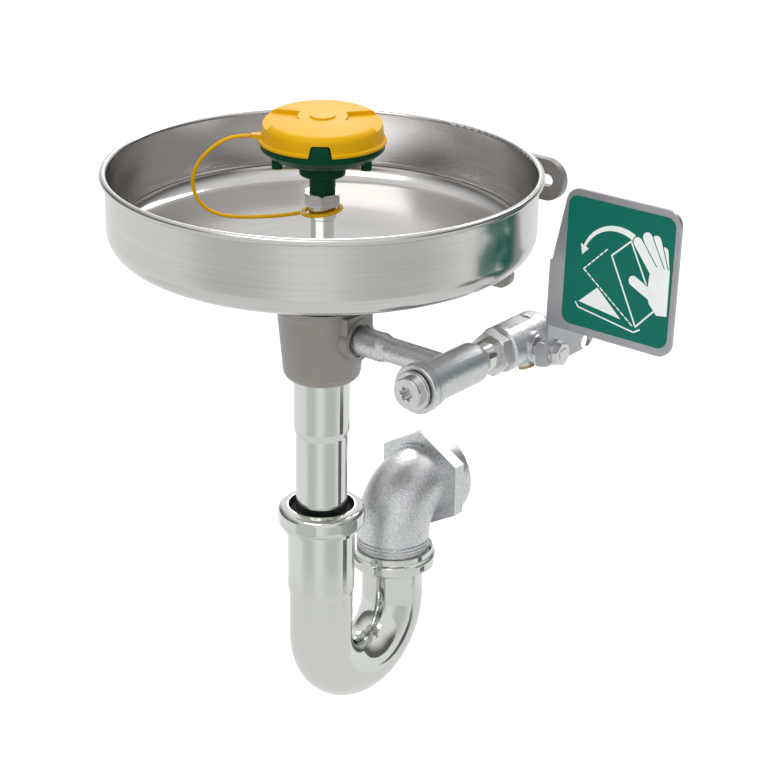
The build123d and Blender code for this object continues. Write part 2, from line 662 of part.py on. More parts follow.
def valve_stem():
    """Stem from the ball's slot out through the gland to the flag's nut."""
    root = BALL_R - STEM_TANG_W / 2
    stem = rod(STEM_R, BALL_R + FIT, STEM_OUT)
    tang = Pos(0, 0, root) * Box(2 * STEM_R - 1, STEM_TANG_W, STEM_TANG_W / 2 + 1, align=ON_BASE)
    stem += tang & rod(STEM_R, root, BALL_R + 1)
    tip = stem.edges().filter_by(GeomType.CIRCLE).sort_by(Axis.Z)[-1]
    return ALONG_X * chamfer(tip, 0.6)


def stem_packing():
    low = STEM_BOSS_OUT - PACKING_DEPTH
    return ALONG_X * tube(STEM_PACKING_R - FIT, STEM_R + FIT / 2, low, low + PACKING_T)


def gland_nut():
    """Low nut that presses the packing round the stem."""
    low = STEM_BOSS_OUT - PACKING_DEPTH + PACKING_T
    nut = tube(STEM_PACKING_R - FIT, STEM_R + CLEAR, low, STEM_BOSS_OUT)
    head = chamfered_hexagon(GLAND_AF, STEM_BOSS_OUT, STEM_BOSS_OUT + GLAND_T)
    return ALONG_X * (nut + head - rod(STEM_R + CLEAR, low, STEM_OUT))


# ---------------------------------------------------------------- push flag
def flag_frame():
    """Frame on the flag's face: local X across, local Y up the leaning face, local Z out to the user."""
    foot = SUPPLY_PLACE * Pos(TAB_X, VALVE_Y + FLAG_FRONT, FLAG_LOW)
    return foot * Rot(X=90 - FLAG_LEAN)


def push_flag():
    """Bent sheet: leaning face, a side tab that grips the stem, and a stop lip in front of the stem."""
    points = [(0, 0), (FLAG_W, 0), (FLAG_W, FLAG_H), (FLAG_TOP_CUT, FLAG_H), (FLAG_NOTCH, FLAG_NOTCH_Z),
              (0, FLAG_NOTCH_Z)]
    face = outline(points, [(1, FLAG_CORNER), (2, FLAG_CORNER), (3, FLAG_CORNER)])
    plate = flag_frame() * Pos(0, 0, -FLAG_T) * extrude(face, FLAG_T)
    lean = math.tan(math.radians(FLAG_LEAN))
    top_z = FLAG_LOW + FLAG_NOTCH_Z
    front = FLAG_FRONT
    side = [(front, TAB_LOW), (TAB_BACK - TAB_END_R, TAB_LOW), (TAB_BACK, TAB_LOW), (TAB_BACK, TAB_HOLE_Z + TAB_END_R),
            (front + 14, top_z), (front + FLAG_NOTCH_Z * lean + FLAG_T / 2, top_z), (front, FLAG_LOW)]
    tab_face = outline(side, [(2, TAB_END_R), (3, 5.0), (4, 4.0)])
    tab_face -= Circle(STEM_R + FIT) + Pos(TAB_HOLE_Y, TAB_HOLE_Z) * Circle(TAB_HOLE_R)
    tab = SUPPLY_PLACE * Pos(TAB_X, VALVE_Y, 0) * extrude(Plane.YZ * tab_face, FLAG_T)
    lip_face = outline([(TAB_X - LIP_W, LIP_LOW), (TAB_X + FLAG_T, TAB_LOW), (TAB_X + FLAG_T, LIP_TOP),
                        (TAB_X - LIP_W, LIP_TOP)], [(0, 1.5), (3, 2.0)])
    lip = Pos(0, VALVE_Y + front + FLAG_T, 0) * extrude(Plane.XZ * lip_face, FLAG_T)
    return plate + tab + SUPPLY_PLACE * lip


def flag_label():
    """Thin label plate on the flag's face; its picture is a separate finish."""
    face = RectangleRounded(LABEL_W, LABEL_H, LABEL_CORNER)
    place = flag_frame() * Pos(LABEL_LEFT + LABEL_W / 2, LABEL_BOTTOM + LABEL_H / 2, 0)
    return place * extrude(face, LABEL_T)


def flag_washer():
    low = TAB_X + FLAG_T
    return ALONG_X * tube(WASHER_R, STEM_R + FIT, low, low + WASHER_T)


def flag_nut():
    low = TAB_X + FLAG_T + WASHER_T
    return ALONG_X * (chamfered_hexagon(NUT_AF, low, low + NUT_T, 12) - rod(STEM_R + FIT, low - 1, low + NUT_T + 1))


# ---------------------------------------------------------------- riser and head
def riser_pipe():
    low = -HUB_TOP - RISER_THREAD
    return BOWL_PLACE * tube(RISER_R, RISER_BORE_R, low, COLLAR_LOW + 6.0)


def riser_collar():
    """Sleeve on the riser's top that the head's nut sits on."""
    top = HEAD_NUT_LOW
    collar = turned([(0, COLLAR_LOW), (COLLAR_R, COLLAR_LOW), (COLLAR_R, top), (0, top)], [(1, 0.8)])
    collar -= rod(RISER_R + FIT, COLLAR_LOW - 1, COLLAR_LOW + 6.0)
    return BOWL_PLACE * (collar - rod(RISER_BORE_R, COLLAR_LOW, top + 1))


def head_nut():
    top = HEAD_NUT_LOW + HEAD_NUT_T
    nut = chamfered_hexagon(HEAD_NUT_AF, HEAD_NUT_LOW, top, HEAD_TURN + 30)
    nut -= rod(NECK_R + FIT, HEAD_NUT_LOW + 1.6, top + 1)
    return BOWL_PLACE * (nut - rod(RISER_BORE_R, HEAD_NUT_LOW - 1, top))


def at_face_screws(shape):
    """Copies of a shape at the four screws, two near each jet."""
    return [Rot(Z=side + turn) * Pos(FACE_SCREW_RING, 0, 0) * shape
            for side in (0, 180) for turn in (-FACE_SCREW_TURN, FACE_SCREW_TURN)]


def head_body():
    """Green moulding: threaded neck, stepped cone, flange, screw lugs and the cover's latch tab."""
    low = HEAD_NUT_LOW + 1.6 + FIT
    outer = turned([(0, low), (NECK_R, low), (NECK_R, STEP_LOW), (STEP_R, STEP_LOW), (STEP_R, STEP_TOP),
                    (STEP_R + 3.5, STEP_TOP + 1), (HEAD_CONE_R, HEAD_CONE_Z), (HEAD_R, HEAD_FLANGE_LOW),
                    (HEAD_R, HEAD_FLANGE_TOP), (0, HEAD_FLANGE_TOP)], [(3, 1.2), (5, 1.0), (6, 2.0), (7, 1.0)])
    lugs = at_face_screws(rod(LUG_R, LUG_LOW, HEAD_FLANGE_LOW + 1))
    hollow = turned([(0, STEP_LOW + HEAD_WALL), (STEP_R - HEAD_WALL, STEP_LOW + HEAD_WALL),
                     (STEP_R - HEAD_WALL, STEP_TOP + 1), (HEAD_R - 14, HEAD_CONE_Z),
                     (HEAD_R - 14, HEAD_FLANGE_TOP + 1), (0, HEAD_FLANGE_TOP + 1)])
    body = outer + lugs - hollow
    seat = FACE_TOP - FACE_T
    body += tube(FACE_R + FACE_WALL, FACE_R + CLEAR, HEAD_FLANGE_TOP - 1, seat + FACE_T / 2)
    body -= rod(RISER_BORE_R - 0.4, low - 1, STEP_TOP)
    body -= at_face_screws(rod(SCREW_R - 0.6 + FIT, LUG_LOW + 1.5, FACE_TOP))
    half_low, half_top = TAB_LOW_W / 2, TAB_TOP_W / 2
    tab_face = outline([(-half_low, HEAD_FLANGE_TOP - 1), (half_low, HEAD_FLANGE_TOP - 1), (half_top, TAB_TOP),
                        (-half_top, TAB_TOP)], [(2, 1.5), (3, 1.5)])
    body += Pos(0, -(FACE_R + FACE_WALL), 0) * extrude(Plane.XZ * tab_face, TAB_THICK)
    body -= tube(SEAL_R + ORING_SECTION + FIT, SEAL_R - FIT, HEAD_FLANGE_TOP - ORING_SECTION, FACE_TOP - FACE_T)
    return HEAD_PLACE * body


def head_oring():
    """Flat seal under the face plate."""
    low = HEAD_FLANGE_TOP - ORING_SECTION
    return HEAD_PLACE * tube(SEAL_R + ORING_SECTION, SEAL_R, low, FACE_TOP - FACE_T)


def spray_face():
    """Face plate with a cup for each jet and rings of small holes between them."""
    low = FACE_TOP - FACE_T
    plate = rod(FACE_R, low, FACE_TOP)
    for side in (-1, 1):
        plate -= Pos(side * JET_R, 0, 0) * rod(JET_CUP_R, FACE_TOP - JET_CUP_T, FACE_TOP + 1)
        plate -= Pos(side * JET_R, 0, 0) * rod(JET_CUP_R - 2, low - 1, FACE_TOP)
    rows = [(0, y) for y in (-20, -14, -8, 8, 14, 20)]
    plate -= [Pos(x, y, 0) * rod(FACE_HOLE_R, low - 1, FACE_TOP + 1) for x, y in rows]
    return HEAD_PLACE * (plate - at_face_screws(rod(SCREW_R - 0.6 + FIT, low - 1, FACE_TOP + 1)))


def jet_inserts():
    """Two grid discs in the face plate's cups, which smooth the jets."""
    discs = []
    for side in (-1, 1):
        low = FACE_TOP - JET_CUP_T
        disc = rod(JET_CUP_R - FIT, low, low + INSERT_T)
        disc -= [Pos(x, y, 0) * rod(0.9, low - 1, FACE_TOP + 2) for x in (-4, -1.4, 1.4, 4) for y in (-4, -1.4, 1.4, 4)]
        discs.append(HEAD_PLACE * Pos(side * JET_R, 0, 0) * disc)
    return Compound(discs)


def face_screws():
    """Four pan-head screws that hold the face plate down on the lugs."""
    screw = rod(SCREW_R - 0.6, LUG_LOW + 2.0, FACE_TOP) + rod(SCREW_HEAD_R - 0.8, FACE_TOP, FACE_TOP + 1.4)
    slot = Pos(0, 0, FACE_TOP + 1.4) * Box(2 * SCREW_HEAD_R, 0.8, 1.2)
    return Compound([HEAD_PLACE * s for s in at_face_screws(screw - slot)])


def flow_regulator():
    """Rubber flow washer at the bottom of the head's chamber."""
    low = STEP_LOW + HEAD_WALL
    return HEAD_PLACE * turned([(1.6, low), (REGULATOR_R + 3, low), (REGULATOR_R + 3, low + 1.6),
                                (REGULATOR_R, REGULATOR_T + low), (2.4, REGULATOR_T + low)])


# ---------------------------------------------------------------- dust cover and tether
def dome_height(top, radius):
    """Height of the cover's dome at a distance from its middle."""
    rise = COVER_TOP_Z - COVER_EDGE_Z
    dome_r = (COVER_SHOULDER_R ** 2 + rise ** 2) / (2 * rise)
    return top - dome_r + math.sqrt(dome_r ** 2 - radius ** 2)


def domed(top, low, rim, shoulder, rounding):
    """A domed, tapered block: flat underneath, rim radius at the bottom and shoulder radius under the dome."""
    edge = (shoulder, dome_height(top, shoulder))
    middle = (shoulder / 2, dome_height(top, shoulder / 2))
    face = make_face(Polyline((0, top), (0, low), (rim, low), edge) + ThreePointArc(edge, middle, (0, top)))
    face = fillet(nearest(face.vertices(), edge), rounding)
    return revolve(Plane.XZ * face, Axis.Z)


def side_wedge(grow):
    """Volume over one side sector of the cover's top; grow widens the sector on all sides."""
    out = 2 * COVER_SKIRT_R
    half = math.radians(WEDGE_ANGLE)
    tip = -grow / math.sin(half)
    side = (out - tip) * math.tan(half)
    sector = make_face(Polyline((tip, 0), (out, -side), (out, side), close=True)) - Circle(WEDGE_IN_R - grow)
    return Pos(0, 0, COVER_LOW + 4) * extrude(sector, COVER_TOP_Z)


def tilted(shape):
    """A shape leaned forward about the middle of the cover's lower edge."""
    return Pos(0, 0, COVER_LOW) * Rot(X=COVER_TILT) * Pos(0, 0, -COVER_LOW) * shape


def cover_form(inset):
    """The cover's outer form, or with an inset its hollow: tapered skirt, domed top and two sunk wedges."""
    top = COVER_TOP_Z - inset
    taper = (COVER_SKIRT_R - COVER_SHOULDER_R) / (COVER_EDGE_Z - COVER_LOW)
    rim = COVER_SKIRT_R - inset + taper * SKIRT_EXTRA
    form = tilted(domed(top, COVER_LOW - SKIRT_EXTRA, rim, COVER_SHOULDER_R - inset, COVER_ROUND - inset))
    wide = 2 * COVER_SKIRT_R
    sunk = tilted(domed(top - WEDGE_DEPTH, 0, wide, wide, COVER_ROUND))
    for turn in (0, 180):
        form -= Rot(Z=turn) * side_wedge(inset / 2) - sunk
    return form - rod(wide, COVER_LOW - 3 * SKIRT_EXTRA, COVER_LOW - inset)


def dust_cover():
    """Yellow snap-on cover: domed, with two sunk side wedges, a notch in front and a tether lug."""
    lip = turned([(COVER_SKIRT_R - 1, COVER_LOW), (COVER_LIP_R, COVER_LOW), (COVER_LIP_R, COVER_LOW + COVER_LIP_T),
                  (COVER_SKIRT_R - 1, COVER_LOW + COVER_LIP_T + 1)], [(1, 0.4), (2, 0.6)])
    badge = tilted(rod(BADGE_R, COVER_TOP_Z - COVER_WALL, COVER_TOP_Z + BADGE_T))
    root, tip = 1 - COVER_SKIRT_R, -COVER_SKIRT_R - LUG_LONG
    plan = outline([(root, -LUG_WIDE / 2), (root, LUG_WIDE / 2), (tip, LUG_TIP / 2), (tip, -LUG_TIP / 2)],
                   [(2, 1.2), (3, 1.2)])
    lug = Pos(0, 0, LUG_Z - LUG_T / 2) * extrude(plan, LUG_T)
    half_low, half_top = NOTCH_LOW_W / 2, NOTCH_TOP_W / 2
    notch = outline([(-half_low, COVER_LOW - 1), (half_low, COVER_LOW - 1), (half_top, NOTCH_TOP_Z),
                     (-half_top, NOTCH_TOP_Z)], [(2, 1.5), (3, 1.5)])
    body = cover_form(0) + lip + lug - cover_form(COVER_WALL) + badge
    return HEAD_PLACE * (body - Pos(0, -COVER_LIP_R - 1, 0) * extrude(Plane.XZ * notch, -COVER_SKIRT_R / 2))


def tether_ring():
    """Loose ring of the tether round the riser's collar."""
    ring = tube(RING_OUT_R, RING_IN_R, -RING_T / 2, RING_T / 2)
    ring = fillet(ring.edges().filter_by(GeomType.CIRCLE).group_by(SortBy.RADIUS)[-1], RING_T / 2 - 0.2)
    return HEAD_PLACE * Pos(-RING_SHIFT, 0, RING_Z) * Rot(Y=-RING_TILT) * ring


def tether_path():
    """The tether's route as straight runs joined by the largest tangent arcs, and those arcs' radii."""
    points = [Vector(-x, 0, z) for x, z in TETHER_ROUTE]
    radii = []
    for a, b, c in zip(points, points[1:], points[2:]):
        turn = math.radians((b - a).get_angle(c - b))
        radii.append(0.45 * min((b - a).length, (c - b).length) / math.tan(turn / 2))
    return FilletPolyline(*points, radius=radii), radii


def cover_tether():
    """The strap from the cover's lug to the ring, as a round cord."""
    path, radii = tether_path()
    section = Plane(origin=path @ 0, z_dir=path % 0) * Circle(TETHER_R)
    cord = sweep(section, path=path)
    return HEAD_PLACE * cord


# ---------------------------------------------------------------- drain group
def tailpiece():
    """Drawn tube with a wider top that fits the cup's socket."""
    top = -CUP_DEPTH + SOCKET_DEPTH - FIT
    step = TAIL_STEP - TAIL_STEP_L
    outer = turned([(0, top), (TAIL_BELL_R, top), (TAIL_BELL_R, TAIL_STEP), (TAIL_R, step), (TAIL_R, TAIL_LOW),
                    (0, TAIL_LOW)], [(2, 4.0), (3, 4.0)])
    bore = turned([(0, top + 1), (TAIL_BELL_R - TAIL_WALL, top + 1), (TAIL_BELL_R - TAIL_WALL, TAIL_STEP),
                   (TAIL_R - TAIL_WALL, step), (TAIL_R - TAIL_WALL, TAIL_LOW - 1), (0, TAIL_LOW - 1)])
    return BOWL_PLACE * (outer - bore)


def slip_nut(height, top_r, low_r, band, flat, hole_r, thread_r, turn):
    """Barrel-shaped slip nut with six oval flats; a narrower band is at height 0 and the lip is at the top."""
    shoulder = height - SLIP_LIP_T
    rise = band + SLIP_RISE
    barrel = 0.4 * (height - 1.0 - rise)
    body = turned([(0, 0), (low_r, 0), (low_r, band), (top_r, rise), (top_r, height - 1.0), (top_r - 6.0, height),
                   (0, height)], [(2, 0.8), (3, barrel), (4, barrel), (5, 1.2)])
    body = body & hexagon(2 * flat, -1, height + 1, turn)
    return body - rod(thread_r, -1, shoulder) - rod(hole_r, shoulder - 1, height + 1)


def trap_inlet_nut():
    nut = slip_nut(SLIP_NUT_H, SLIP_NUT_R, SLIP_NUT_LOW_R, SLIP_NUT_BAND, SLIP_NUT_FLAT, SLIP_HOLE_R,
                   TRAP_FERRULE_R + FIT, 20)
    return BOWL_PLACE * Pos(0, 0, SLIP_NUT_TOP - SLIP_NUT_H) * nut


def trap_inlet_washer():
    """Reducing washer between the narrow tailpiece and the wider trap; its coned top shows in the nut."""
    low = TRAP_BELL_TOP
    lip = SLIP_NUT_TOP - SLIP_LIP_T
    return BOWL_PLACE * turned([(TAIL_R + FIT, low), (TRAP_FERRULE_R - FIT, low), (TRAP_FERRULE_R - FIT, lip - FIT),
                                (SLIP_HOLE_R - FIT, lip - FIT), (SLIP_HOLE_R - FIT, lip + 1.0),
                                (TAIL_R + FIT, SLIP_NUT_TOP - 2.2)])


def trap_bend():
    """U-shaped tube with a wide inlet leg and a ferrule for the inlet nut."""
    section = Pos(0, 0, BEND_Z) * (Circle(TRAP_R) - Circle(TRAP_R - TRAP_WALL))
    bend = revolve(section, Axis((0, BEND_R, BEND_Z), (1, 0, 0)), 180)
    outlet = Pos(0, 2 * BEND_R, 0) * tube(TRAP_R, TRAP_R - TRAP_WALL, BEND_Z, TRAP_OUT_TOP)
    step = TRAP_BELL_STEP - 4
    bore = TRAP_BELL_R - TRAP_WALL
    leg = turned([(0, BEND_Z), (TRAP_R, BEND_Z), (TRAP_R, step), (TRAP_BELL_R, TRAP_BELL_STEP),
                  (TRAP_BELL_R, TRAP_BELL_TOP - TRAP_FERRULE_L), (TRAP_FERRULE_R, TRAP_BELL_TOP - TRAP_FERRULE_L),
                  (TRAP_FERRULE_R, TRAP_BELL_TOP), (0, TRAP_BELL_TOP)], [(2, 5.0), (3, 5.0)])
    leg -= turned([(0, BEND_Z - 1), (TRAP_R - TRAP_WALL, BEND_Z - 1), (TRAP_R - TRAP_WALL, step),
                   (bore, TRAP_BELL_STEP), (bore, TRAP_BELL_TOP + 1), (0, TRAP_BELL_TOP + 1)])
    return BOWL_PLACE * (leg + bend + outlet)


def trap_outlet_nut():
    nut = slip_nut(OUT_NUT_H, OUT_NUT_R, OUT_NUT_LOW_R, OUT_NUT_BAND, OUT_NUT_FLAT, TRAP_R + CLEAR,
                   ELBOW_THREAD_R + FIT, 0)
    return BOWL_PLACE * Pos(0, 2 * BEND_R, OUT_NUT_LOW + OUT_NUT_H) * Rot(X=180) * nut


def trap_outlet_washer():
    low = OUT_NUT_LOW + SLIP_LIP_T
    return BOWL_PLACE * Pos(0, 2 * BEND_R, 0) * tube(ELBOW_THREAD_R - 0.5, TRAP_R + FIT, low + FIT, ELBOW_LOW - FIT)


def waste_elbow():
    """Cast elbow: threaded foot, a tight bend and a hexagon with the waste pipe's female thread."""
    foot_points = [(0, ELBOW_LOW)]
    z = ELBOW_LOW
    while z + ELBOW_THREAD_PITCH < ELBOW_THREAD_TOP:
        foot_points += [(ELBOW_THREAD_R - ELBOW_THREAD_CUT, z), (ELBOW_THREAD_R, z + 0.35 * ELBOW_THREAD_PITCH),
                        (ELBOW_THREAD_R, z + 0.65 * ELBOW_THREAD_PITCH)]
        z += ELBOW_THREAD_PITCH
    foot_points += [(ELBOW_THREAD_R - ELBOW_THREAD_CUT, z), (ELBOW_R, ELBOW_THREAD_TOP), (ELBOW_R, ELBOW_BEND_Z),
                    (0, ELBOW_BEND_Z)]
    foot = Pos(0, 2 * BEND_R, 0) * turned(foot_points)
    centre = Axis((0, 2 * BEND_R + ELBOW_BEND_R, ELBOW_BEND_Z), (-1, 0, 0))
    start = Pos(0, 2 * BEND_R, ELBOW_BEND_Z) * Plane.XY
    bend = revolve(start * Circle(ELBOW_R), centre, 90)
    bore = revolve(start * Circle(ELBOW_BORE_R), centre, 90)
    mouth = BOWL_PLACE * Pos(0, 2 * BEND_R + ELBOW_BEND_R + ELBOW_NECK, ELBOW_BEND_Z + ELBOW_BEND_R) * Rot(X=-90)
    ends = hexagon(HEX_AF, 0, HEX_T, 30) + turned([(0, HEX_T), (HEX_COLLAR_R, HEX_T),
                                                   (HEX_COLLAR_R, HEX_T + HEX_COLLAR_T), (0, HEX_T + HEX_COLLAR_T)],
                                                  [(2, 1.5)])
    ends += rod(ELBOW_R, -ELBOW_NECK, 0) + rod(ELBOW_RING_R, -ELBOW_RING_T, 0)
    body = BOWL_PLACE * (foot + bend) + mouth * ends
    body -= BOWL_PLACE * (bore + Pos(0, 2 * BEND_R, 0) * rod(ELBOW_BORE_R, ELBOW_LOW - 1, ELBOW_BEND_Z))
    depth = HEX_T + HEX_COLLAR_T
    body -= mouth * rod(ELBOW_BORE_R, -ELBOW_NECK, depth)
    return body - mouth * rod(WASTE_R, depth - WASTE_DEPTH, depth + 1)


def tailpiece_seal():
    return BOWL_PLACE * seal_ring()


NODES = {
    "bowl": bowl,
    "bowl_gasket": bowl_gasket,
    "waste_grid": waste_grid,
    "clamp_screws": clamp_screws,
    "wall_bracket": wall_bracket,
    "strainer_body": strainer_body,
    "branch_oring": branch_oring,
    "branch_lock_screw": branch_lock_screw,
    "strainer_plug": strainer_plug,
    "plug_seal": plug_seal,
    "strainer_screen": strainer_screen,
    "valve_nipple": valve_nipple,
    "valve_end": valve_end,
    "valve_body": valve_body,
    "drain_plug": drain_plug,
    "valve_ball": valve_ball,
    "valve_seats": valve_seats,
    "valve_stem": valve_stem,
    "stem_packing": stem_packing,
    "gland_nut": gland_nut,
    "push_flag": push_flag,
    "flag_label": flag_label,
    "flag_washer": flag_washer,
    "flag_nut": flag_nut,
    "riser_pipe": riser_pipe,
    "riser_collar": riser_collar,
    "head_nut": head_nut,
    "head_body": head_body,
    "head_oring": head_oring,
    "spray_face": spray_face,
    "jet_inserts": jet_inserts,
    "face_screws": face_screws,
    "flow_regulator": flow_regulator,
    "dust_cover": dust_cover,
    "tether_ring": tether_ring,
    "cover_tether": cover_tether,
    "tailpiece": tailpiece,
    "tailpiece_seal": tailpiece_seal,
    "trap_inlet_nut": trap_inlet_nut,
    "trap_inlet_washer": trap_inlet_washer,
    "trap_bend": trap_bend,
    "trap_outlet_nut": trap_outlet_nut,
    "trap_outlet_washer": trap_outlet_washer,
    "waste_elbow": waste_elbow,
}

os.makedirs("parts", exist_ok=True)
for name, build in NODES.items():
    export_step(build(), os.path.join("parts", name + ".step"))
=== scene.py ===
"""Wall-mounted eye and face wash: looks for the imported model. Metres, in the model's own frame."""
import json
import math

import bmesh
import bpy
from mathutils import Matrix, Vector

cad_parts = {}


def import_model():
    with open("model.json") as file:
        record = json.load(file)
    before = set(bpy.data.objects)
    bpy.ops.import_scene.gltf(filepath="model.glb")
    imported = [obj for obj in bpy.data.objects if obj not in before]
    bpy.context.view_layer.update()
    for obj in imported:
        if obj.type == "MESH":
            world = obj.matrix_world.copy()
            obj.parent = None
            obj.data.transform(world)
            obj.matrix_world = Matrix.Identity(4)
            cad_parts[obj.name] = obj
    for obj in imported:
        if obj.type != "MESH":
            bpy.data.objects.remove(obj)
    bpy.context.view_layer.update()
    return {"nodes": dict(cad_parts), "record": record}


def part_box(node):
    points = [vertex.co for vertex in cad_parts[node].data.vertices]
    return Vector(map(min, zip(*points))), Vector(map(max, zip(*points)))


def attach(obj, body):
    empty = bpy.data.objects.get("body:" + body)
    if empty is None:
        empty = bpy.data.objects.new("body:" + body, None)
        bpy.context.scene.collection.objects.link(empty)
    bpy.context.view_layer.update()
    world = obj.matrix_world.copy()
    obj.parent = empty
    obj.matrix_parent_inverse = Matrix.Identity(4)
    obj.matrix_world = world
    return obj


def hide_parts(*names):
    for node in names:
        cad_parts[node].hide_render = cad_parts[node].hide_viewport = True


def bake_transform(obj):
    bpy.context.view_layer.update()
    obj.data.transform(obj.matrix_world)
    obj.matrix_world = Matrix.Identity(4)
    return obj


# ---------------------------------------------------------------- camera
AZIMUTH = math.radians(38.5)
ELEVATION = math.radians(22.9)
ROLL = math.radians(0.865)
DISTANCE = 1.333
LENS = 102.7
AIM_SIDE = 0.0378  # aim point from the bowl's axis, along the camera's right
AIM_DROP = 0.1369  # aim point below the bowl's rim

# ---------------------------------------------------------------- studio
FLOOR_DROP = 0.9  # floor below the bowl's rim
FLOOR_SIZE = 30.0
CARD_R = 1.2  # the ring of reflector cards
CARD_H = 0.7
CARD_GAP = 0.005  # cards above the floor
FLOOR_CARD_GAP = 0.003
FLOOR_GLOSS = 0.9  # how bright the floor looks in reflections

# ---------------------------------------------------------------- places on the object
HEAD_TURN = math.radians(38)
LABEL_LEAN = math.radians(2)
PRINT_LIFT = 0.00003  # the print's lowest layer, off the label's face
LAYER_STEP = 0.00001
SHAPE_STEP = 0.0000005
TETHER_R = 0.00115
# Route in the plane across the head: (distance out from the riser's axis, height above the rim).
TETHER_ROUTE = [(0.04175, 0.0184), (0.05, 0.018), (0.0565, 0.0159), (0.0634, 0.0116), (0.0696, 0.0058),
                (0.0744, -0.0016), (0.0763, -0.0096), (0.0753, -0.0174), (0.0716, -0.0238), (0.0654, -0.0286),
                (0.0575, -0.031), (0.048, -0.0316), (0.0375, -0.0312), (0.026, -0.0303), (0.0195, -0.0294),
                (0.0133, -0.0283)]


# ---------------------------------------------------------------- node helpers
class Shader:
    """A material's or world's node tree, with short calls for the nodes used here."""

    def __init__(self, owner):
        owner.use_nodes = True
        self.material = owner
        self.tree = owner.node_tree
        self.bsdf = self.tree.nodes.get("Principled BSDF")

    def node(self, kind, **settings):
        made = self.tree.nodes.new(kind)
        for key, value in settings.items():
            setattr(made, key, value)
        return made

    def link(self, output, socket):
        self.tree.links.new(output, socket)

    def feed(self, socket, value):
        """Link an output, or set a plain value."""
        if isinstance(value, bpy.types.NodeSocket):
            self.link(value, socket)
        else:
            socket.default_value = value

    def set(self, **values):
        for key, value in values.items():
            self.feed(self.bsdf.inputs[key.replace("_", " ")], value)

    def math(self, operation, a, b=0.0, c=0.0):
        made = self.node("ShaderNodeMath", operation=operation)
        for socket, value in zip(made.inputs, (a, b, c)):
            self.feed(socket, value)
        return made.outputs[0]

    def vector(self, operation, a, b=(0, 0, 0)):
        made = self.node("ShaderNodeVectorMath", operation=operation)
        self.feed(made.inputs[0], a)
        self.feed(made.inputs[1], b)
        return made.outputs[0]

    def place(self):
        return self.node("ShaderNodeTexCoord").outputs["Object"]

    def noise(self, where, scale, detail=4.0, roughness=0.5):
        made = self.node("ShaderNodeTexNoise")
        self.feed(made.inputs["Vector"], where)
        made.inputs["Scale"].default_value = scale
        made.inputs["Detail"].default_value = detail
        made.inputs["Roughness"].default_value = roughness
        return made.outputs["Fac"]

    def ramp(self, value, low, high, to_low=0.0, to_high=1.0):
        made = self.node("ShaderNodeMapRange")
        for socket, item in zip(made.inputs, (value, low, high, to_low, to_high)):
            self.feed(socket, item)
        return made.outputs[0]

    def mix(self, factor, a, b):
        made = self.node("ShaderNodeMix", data_type="RGBA")
        self.feed(made.inputs[0], factor)
        self.feed(made.inputs[6], (*a, 1) if isinstance(a, tuple) else a)
        self.feed(made.inputs[7], (*b, 1) if isinstance(b, tuple) else b)
        return made.outputs[2]

    def bump(self, height, distance):
        made = self.node("ShaderNodeBump")
        self.feed(made.inputs["Height"], height)
        made.inputs["Distance"].default_value = distance
        made.inputs["Strength"].default_value = 1.0
        self.link(made.outputs[0], self.bsdf.inputs["Normal"])


def polar(shader, centre):
    """Outputs for the distance from a vertical axis, the angle round it, and the height."""
    offset = shader.vector("SUBTRACT", shader.place(), centre)
    split = shader.node("ShaderNodeSeparateXYZ")
    shader.link(offset, split.inputs[0])
    x, y, z = split.outputs
    squares = shader.math("ADD", shader.math("MULTIPLY", x, x), shader.math("MULTIPLY", y, y))
    radius = shader.math("SQRT", squares)
    return radius, shader.math("ARCTAN2", y, x), z


def combined(shader, x, y, z):
    made = shader.node("ShaderNodeCombineXYZ")
    for socket, value in zip(made.inputs, (x, y, z)):
        shader.feed(socket, value)
    return made.outputs[0]


# ---------------------------------------------------------------- materials
def spun_steel(name, centre, colour, roughness, anisotropy, depth):
    """Satin stainless with fine lines round the bowl's axis."""
    s = Shader(bpy.data.materials.new(name))
    radius, angle, height = polar(s, centre)
    rings = combined(s, s.math("MULTIPLY", radius, 1400), s.math("MULTIPLY", angle, 1.2),
                     s.math("MULTIPLY", height, 1400))
    fine = s.noise(rings, 1.0, 3.0, 0.6)
    broad_place = combined(s, s.math("MULTIPLY", radius, 90), s.math("MULTIPLY", angle, 0.9),
                           s.math("MULTIPLY", height, 90))
    broad = s.noise(broad_place, 1.0, 2.0)
    shade = s.math("ADD", s.math("MULTIPLY", fine, 0.6), s.math("MULTIPLY", broad, 0.4))
    dark = tuple(c * 0.86 for c in colour)
    s.set(Base_Color=s.mix(s.ramp(shade, 0.3, 0.7), dark, colour), Metallic=1.0,
          Roughness=s.ramp(shade, 0.3, 0.7, roughness * 0.88, roughness * 1.12), Anisotropic=anisotropy)
    tangent = s.node("ShaderNodeTangent", direction_type="RADIAL", axis="Z")
    s.link(tangent.outputs[0], s.bsdf.inputs["Tangent"])
    s.bump(fine, depth)
    return s.material


def brushed_sheet(name, colour, roughness, along=(40, 1400, 1400)):
    """Matte stainless sheet with a faint straight grain."""
    s = Shader(bpy.data.materials.new(name))
    stretched = s.vector("MULTIPLY", s.place(), along)
    grain = s.noise(stretched, 1.0, 3.0, 0.55)
    cloud = s.noise(s.place(), 60.0, 3.0)
    dark = tuple(c * 0.88 for c in colour)
    s.set(Base_Color=s.mix(s.ramp(cloud, 0.3, 0.7), dark, colour), Metallic=1.0,
          Roughness=s.ramp(grain, 0.3, 0.7, roughness * 0.85, roughness * 1.15))
    s.bump(grain, 0.00002)
    return s.material


